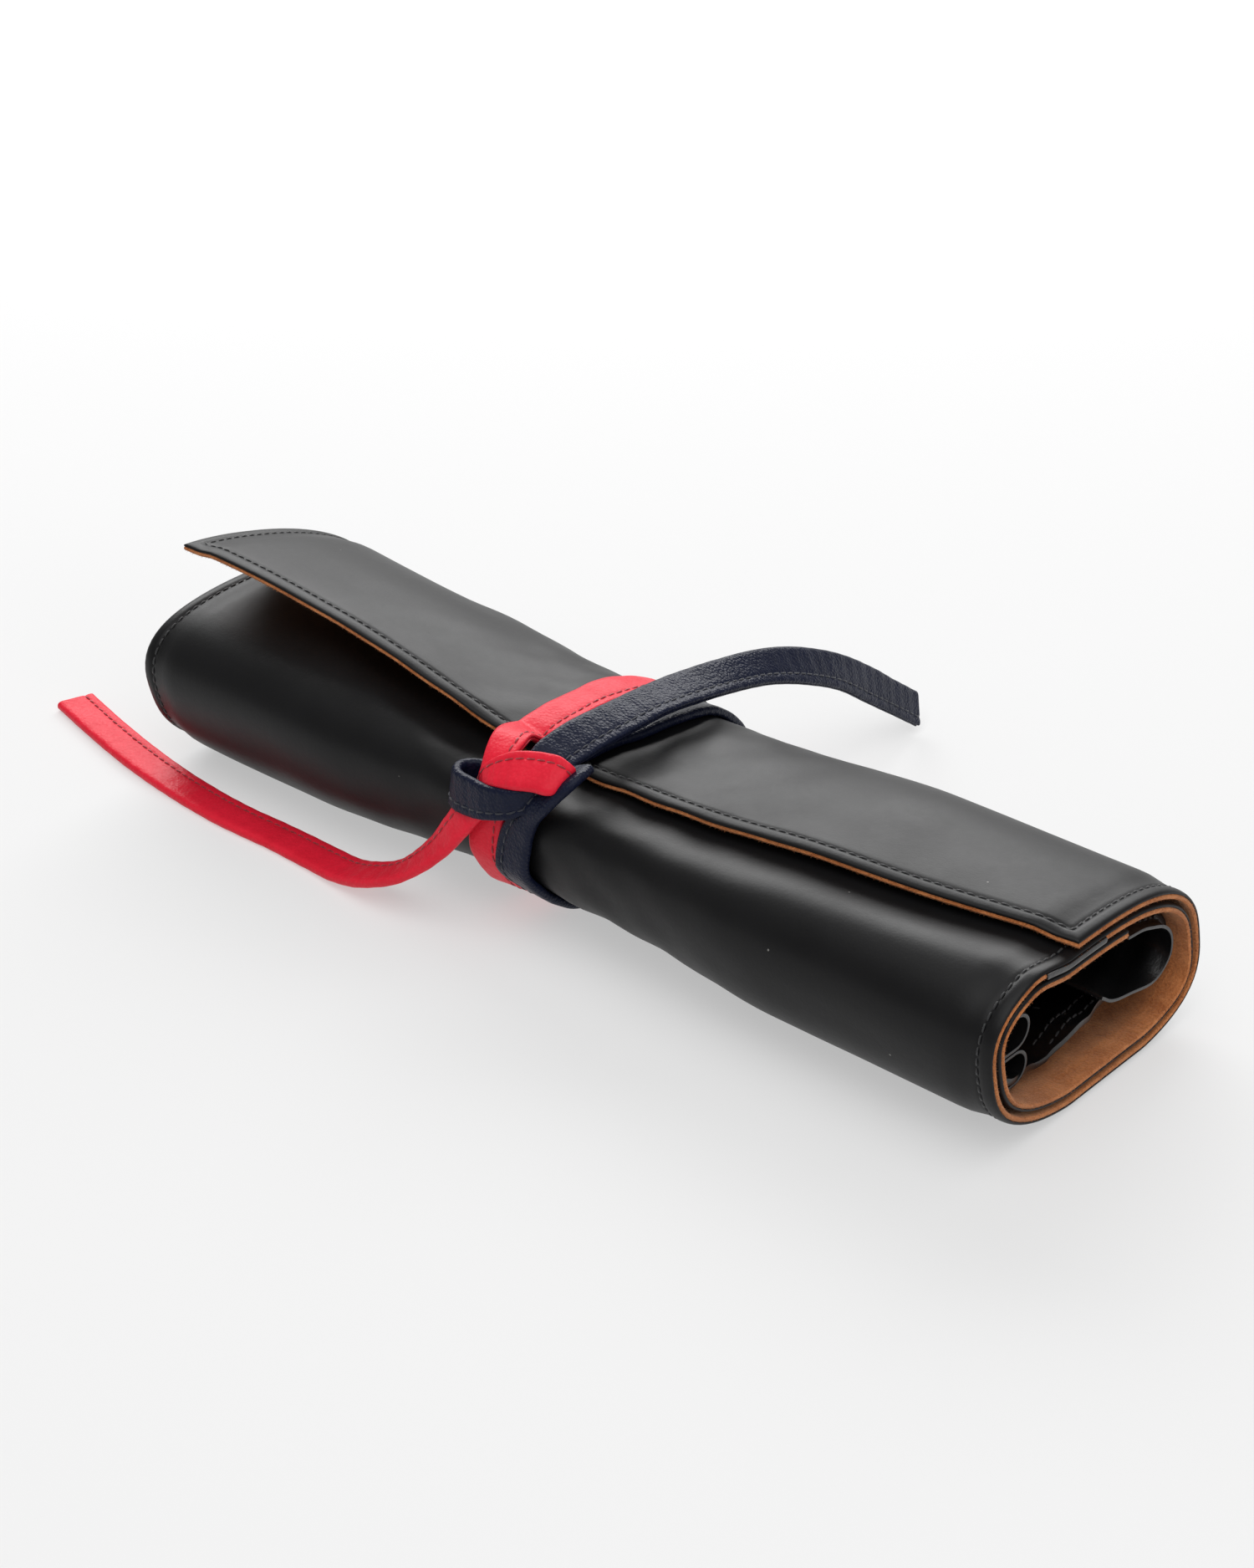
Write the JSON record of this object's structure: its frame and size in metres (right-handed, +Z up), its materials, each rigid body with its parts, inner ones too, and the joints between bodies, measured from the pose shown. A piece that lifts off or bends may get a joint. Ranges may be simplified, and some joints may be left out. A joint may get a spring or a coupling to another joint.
{
  "type": "leather pencil roll",
  "caption": "Leather pencil roll with a suede lining and inner pockets, rolled up and tied with two knotted flat straps.",
  "frame": {"origin": "on the table, under the middle of the rolled leather, straps' loose ends left out", "axes": "+X along the roll, -Y is the front with the knot, +Z up from the table"},
  "size_m": [0.3274, 0.1761, 0.0636],
  "materials": {
    "black_leather": "smooth black hide with a soft sheen",
    "tan_suede": "napped orange-tan suede, fully matte",
    "soft_black_leather": "thin soft black leather, slightly glossy",
    "black_thread": "bonded black sewing thread",
    "red_leather": "red leather strap with a fine grain",
    "navy_leather": "dark navy leather strap, pebbled grain",
    "red_thread": "dark red sewing thread",
    "navy_thread": "dark navy sewing thread"
  },
  "bodies": {
    "roll": {"outer_leather": "black_leather", "suede_lining": "tan_suede", "end_stitching_left": "black_thread", "end_stitching_right": "black_thread", "pocket_panel": "soft_black_leather", "pocket_mouth_stitching": "black_thread", "pocket_divider_stitching": "black_thread", "pen_loop_upper": "soft_black_leather", "pen_loop_lower": "soft_black_leather", "soft_cover": "soft_black_leather", "soft_cover_stitching_left": "black_thread", "soft_cover_stitching_right": "black_thread", "red_band": "red_leather", "red_knot": "red_leather", "red_tail_root": "red_leather", "red_band_seam": "red_thread", "navy_band": "navy_leather", "navy_knot": "navy_leather", "navy_tail_root": "navy_leather", "navy_band_seam": "navy_thread"},
    "left_flap": {"flap_corner_left": "black_leather", "flap_corner_left_suede": "tan_suede", "flap_corner_left_stitching": "black_thread"},
    "right_flap": {"flap_corner_right": "black_leather", "flap_corner_right_suede": "tan_suede", "flap_corner_right_stitching": "black_thread"},
    "red_tail_end": {"red_tail": "red_leather", "red_tail_seam": "red_thread"},
    "navy_tail_end": {"navy_tail": "navy_leather", "navy_tail_seam": "navy_thread"}
  },
  "joints": [
    {"name": "left_flap_lift", "type": "hinge", "parent": "roll", "child": "left_flap", "pos_m": [-0.026, -0.01627, 0.05162], "axis": [-0.9042, 0.4261, -0.0278], "range_deg": [0, 35]},
    {"name": "right_flap_lift", "type": "hinge", "parent": "roll", "child": "right_flap", "pos_m": [0.018, -0.0161, 0.04913], "axis": [-0.9217, -0.3868, 0.0283], "range_deg": [0, 35]},
    {"name": "red_tail_swing", "type": "hinge", "parent": "roll", "child": "red_tail_end", "pos_m": [-0.058, -0.0496, 0.0042], "axis": [0, 0, 1], "range_deg": [0, 80]},
    {"name": "navy_tail_lift", "type": "hinge", "parent": "roll", "child": "navy_tail_end", "pos_m": [0.001, -0.0226, 0.0515], "axis": [1, 0, 0], "range_deg": [0, 75]}
  ]
}
